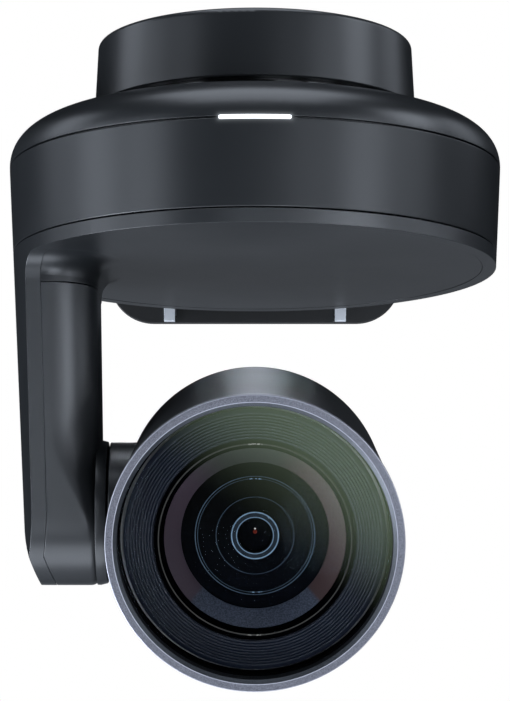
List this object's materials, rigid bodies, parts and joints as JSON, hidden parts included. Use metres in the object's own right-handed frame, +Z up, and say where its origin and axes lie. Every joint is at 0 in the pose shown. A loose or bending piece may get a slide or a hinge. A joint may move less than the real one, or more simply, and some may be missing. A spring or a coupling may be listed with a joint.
{
  "type": "ptz camera",
  "caption": "Conference pan-tilt-zoom camera hung upside down from a wall bracket: round foot, drum with a light bar, turning disc with one side arm, and a tilting lens barrel.",
  "frame": {"origin": "centre of the four wall holes, on the wall face of the hook plate", "axes": "+Z up, along the pan axis; +Y into the wall; +X to the right of a viewer facing the lens; the lens looks towards -Y and down by 15.5 degrees at rest"},
  "size_m": [0.152, 0.1655, 0.2129],
  "materials": {
    "shell_plastic": "satin, fine grain, dark blue-grey",
    "gloss_plastic": "polished black",
    "bracket_coat": "fine-texture black powder coat",
    "zinc_plate": "bright zinc plating",
    "screw_steel": "dark plated",
    "pad_rubber": "matt black",
    "plate_steel": "ground",
    "panel_plastic": "matt black",
    "socket_body": "black moulded",
    "circuit_board": "green solder mask",
    "light_diffuser": "milky diffuser",
    "cast_alloy": "as cast",
    "bearing_steel": "polished",
    "cage_plastic": "natural nylon",
    "gear_plastic": "white acetal",
    "gear_brass": "machined",
    "motor_steel": "drawn can",
    "cable_jacket": "black jacket",
    "bezel_satin": "satin blue-grey metallic",
    "window_glass": "clear, coated",
    "baffle_black": "matt black, ribbed",
    "hood_black": "satin black, frosted cone",
    "lens_metal": "black anodised",
    "lens_glass": "coated, faint purple and green reflections"
  },
  "bodies": {
    "base": {"wall_bracket": "bracket_coat", "wall_hook_plate": "zinc_plate", "bracket_screw": "screw_steel", "foot_shell": "shell_plastic", "foot_pad": "pad_rubber", "foot_plate": "plate_steel", "base_screws": "screw_steel", "port_panel": "panel_plastic", "power_jack": "socket_body", "usb_c_socket": "socket_body", "hdmi_socket": "socket_body", "control_socket": "socket_body", "io_board": "circuit_board", "neck_ring": "gloss_plastic", "upper_shell": "shell_plastic", "light_bar": "light_diffuser", "led_board": "circuit_board", "band_shell": "shell_plastic", "base_chassis": "cast_alloy", "main_board": "circuit_board", "pan_bearing_outer": "bearing_steel", "pan_motor": "motor_steel"},
    "pan_yoke": {"pan_bearing_inner": "bearing_steel", "pan_spindle": "plate_steel", "pan_gear": "gear_plastic", "yoke_shell": "shell_plastic", "turntable_plate": "shell_plastic", "arm_cover": "shell_plastic", "arm_frame": "cast_alloy", "tilt_bush": "gear_brass", "tilt_motor": "motor_steel", "motor_screws": "screw_steel", "signal_cable": "cable_jacket"},
    "head": {"head_barrel": "shell_plastic", "rear_cap": "shell_plastic", "tilt_shaft": "plate_steel", "tilt_gear": "gear_plastic", "lens_frame": "cast_alloy", "bezel_ring": "bezel_satin", "front_window": "window_glass", "baffle_ring": "baffle_black", "lens_hood": "hood_black", "lens_tube": "lens_metal", "front_element": "lens_glass", "fixed_element": "lens_glass", "guide_rods": "plate_steel", "lens_motors": "motor_steel", "iris_unit": "lens_metal", "sensor_board": "circuit_board"},
    "ball_set": {"pan_bearing_balls": "bearing_steel", "ball_cage": "cage_plastic"},
    "pan_drive_pinion": {"pan_pinion": "gear_brass"},
    "tilt_drive_pinion": {"tilt_pinion": "gear_brass"},
    "zoom_group": {"zoom_carrier": "lens_metal", "zoom_lens": "lens_glass"},
    "focus_group": {"focus_carrier": "lens_metal", "focus_lens": "lens_glass"},
    "zoom_drive_screw": {"zoom_screw": "plate_steel"},
    "focus_drive_screw": {"focus_screw": "plate_steel"},
    "pairing_key": {"pairing_button": "panel_plastic"}
  },
  "joints": [
    {"name": "pan", "type": "hinge", "parent": "base", "child": "pan_yoke", "pos_m": [0, -0.0895, -0.032], "axis": [0, 0, 1], "range_deg": [-90, 90]},
    {"name": "tilt", "type": "hinge", "parent": "pan_yoke", "child": "head", "pos_m": [0, -0.0895, -0.1081], "axis": [1, 0, 0], "range_deg": [-105.5, 34.5]},
    {"name": "ball_set_spin", "type": "hinge", "parent": "base", "child": "ball_set", "pos_m": [0, -0.0895, -0.016], "axis": [0, 0, 1], "range_deg": [-41, 41]},
    {"name": "pan_pinion_spin", "type": "hinge", "parent": "base", "child": "pan_drive_pinion", "pos_m": [0, -0.0445, -0.025], "axis": [0, 0, 1], "range_deg": [-451, 451]},
    {"name": "tilt_pinion_spin", "type": "hinge", "parent": "pan_yoke", "child": "tilt_drive_pinion", "pos_m": [-0.06, -0.0895, -0.0857], "axis": [1, 0, 0], "range_deg": [-127, 388]},
    {"name": "zoom_slide", "type": "slide", "parent": "head", "child": "zoom_group", "axis": [0, -0.9636, -0.2672], "range_m": [-0.006, 0.01]},
    {"name": "zoom_screw_spin", "type": "hinge", "parent": "head", "child": "zoom_drive_screw", "pos_m": [0, -0.10218, -0.09231], "axis": [0, -0.9636, -0.2672], "range_deg": [-451, 271]},
    {"name": "focus_slide", "type": "slide", "parent": "head", "child": "focus_group", "axis": [0, -0.9636, -0.2672], "range_m": [-0.004, 0.004]},
    {"name": "focus_screw_spin", "type": "hinge", "parent": "head", "child": "focus_drive_screw", "pos_m": [0, -0.08453, -0.12602], "axis": [0, -0.9636, -0.2672], "range_deg": [-181, 181]},
    {"name": "pairing_press", "type": "slide", "parent": "base", "child": "pairing_key", "axis": [0, -1, 0], "range_m": [0, 0.0008], "stiffness_N_per_m": 800}
  ],
  "couplings": [
    {"joint": "pan_pinion_spin", "follows": "pan", "ratio": -5},
    {"joint": "ball_set_spin", "follows": "pan", "ratio": 0.452},
    {"joint": "tilt_pinion_spin", "follows": "tilt", "ratio": -3.6667},
    {"joint": "zoom_screw_spin", "follows": "zoom_slide", "rad_per_m": -785.4},
    {"joint": "focus_screw_spin", "follows": "focus_slide", "rad_per_m": -785.4}
  ]
}
